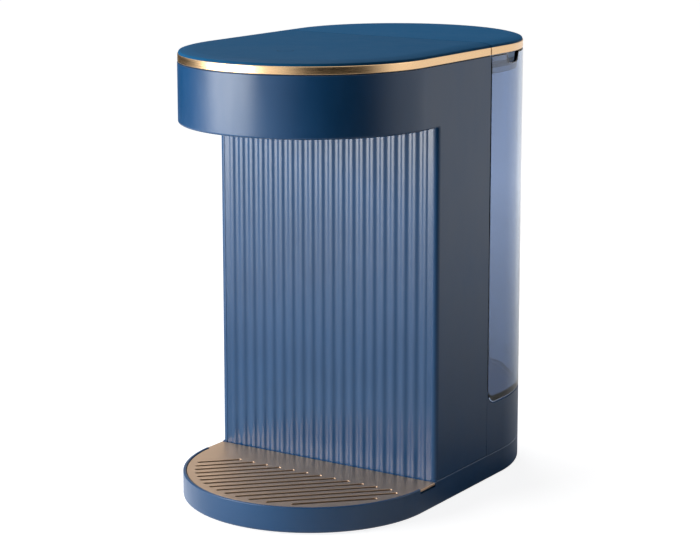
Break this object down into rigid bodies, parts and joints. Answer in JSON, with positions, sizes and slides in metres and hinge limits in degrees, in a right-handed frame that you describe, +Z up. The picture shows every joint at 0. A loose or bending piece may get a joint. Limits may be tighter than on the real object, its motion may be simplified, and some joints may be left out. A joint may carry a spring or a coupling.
{
  "type": "formula water warmer",
  "caption": "Countertop formula water warmer: cantilever head over a fluted column and drip tray, lift-off clear tank behind.",
  "frame": {"origin": "on the table, under the middle of the oval body", "axes": "+Z up, -Y the front with the head and the drip tray, +Y the back with the tank, +X to the right seen from the front"},
  "size_m": [0.134, 0.217, 0.2334],
  "materials": {
    "navy_satin": "satin lacquer",
    "navy_fluted": "satin",
    "navy_top": "satin",
    "gold_trim": "brushed",
    "gold_plate": "anodised satin",
    "tank_clear": "clear tinted",
    "skirt_clear": "frosted",
    "filter_clear": "frosted",
    "rubber_dark": "matte",
    "silicone_dark": "matte",
    "silicone_grey": "matte",
    "hose_silicone": "matte",
    "seal_red": "matte",
    "inner_dark": "fine texture",
    "inner_white": "smooth",
    "pan_dark": "smooth",
    "circuit_board": "solder mask",
    "cable_grey": "smooth",
    "cast_aluminium": "as cast",
    "steel": "bright"
  },
  "bodies": {
    "machine": {"base_tub": "navy_satin", "rubber_feet": "rubber_dark", "base_screws": "steel", "cord_gland": "rubber_dark", "main_housing": "navy_satin", "fluted_panel": "navy_fluted", "head_underside": "navy_satin", "spout": "silicone_dark", "outlet_chamber": "inner_white", "top_panel": "navy_top", "front_trim": "gold_trim", "rear_wall": "navy_satin", "wall_screws": "steel", "tank_dock": "navy_satin", "dock_socket": "inner_dark", "dock_seal": "silicone_grey", "control_board": "circuit_board", "touch_springs": "steel", "light_guide": "inner_white", "ribbon_cable": "cable_grey", "power_board": "circuit_board", "power_components": "inner_dark", "level_sensor": "circuit_board", "heater_block": "cast_aluminium", "water_tube": "steel", "heater_bracket": "steel", "thermostats": "inner_white", "temperature_sensor": "inner_dark", "pump_housing": "inner_dark", "pump_cover": "inner_dark", "pump_motor": "steel", "pump_cradle": "rubber_dark", "flow_meter_body": "inner_white", "flow_meter_cap": "inner_white", "inlet_hose": "hose_silicone", "pump_hose": "hose_silicone", "heater_hose": "hose_silicone", "outlet_hose": "hose_silicone", "hose_clips": "steel"},
    "pump_rotor": {"impeller": "inner_white", "pump_shaft": "steel"},
    "meter_rotor": {"flow_turbine": "inner_dark"},
    "tank": {"tank_shell": "tank_clear", "valve_housing": "inner_dark", "valve_oring": "rubber_dark", "valve_cage": "inner_dark", "inlet_filter": "filter_clear", "valve_spring": "steel"},
    "valve": {"valve_poppet": "inner_white", "poppet_seal": "seal_red"},
    "lid": {"lid_shell": "navy_top", "lid_trim": "gold_trim", "lid_skirt": "skirt_clear", "lid_seal": "silicone_grey"},
    "pan": {"drip_pan": "pan_dark"},
    "grille": {"drip_grille": "gold_plate"}
  },
  "joints": [
    {"name": "tank_lift", "type": "slide", "parent": "machine", "child": "tank", "axis": [0, 0, 1], "range_m": [0, 0.06]},
    {"name": "lid_lift", "type": "slide", "parent": "tank", "child": "lid", "axis": [0, 0, 1], "range_m": [0, 0.03]},
    {"name": "valve_slide", "type": "slide", "parent": "tank", "child": "valve", "axis": [0, 0, -1], "range_m": [0, 0.003], "deforming": ["valve_spring"]},
    {"name": "pan_lift", "type": "slide", "parent": "machine", "child": "pan", "axis": [0, 0, 1], "range_m": [0, 0.04]},
    {"name": "grille_lift", "type": "slide", "parent": "pan", "child": "grille", "axis": [0, 0, 1], "range_m": [0, 0.03]},
    {"name": "pump_spin", "type": "hinge", "parent": "machine", "child": "pump_rotor", "pos_m": [-0.038, 0.007, 0.038], "axis": [0, 0, 1], "continuous": true},
    {"name": "meter_spin", "type": "hinge", "parent": "machine", "child": "meter_rotor", "pos_m": [0.007, -0.001, 0.0385], "axis": [1, 0, 0], "continuous": true}
  ],
  "couplings": [
    {"joint": "valve_slide", "follows": "tank_lift", "ratio": 0.05}
  ]
}
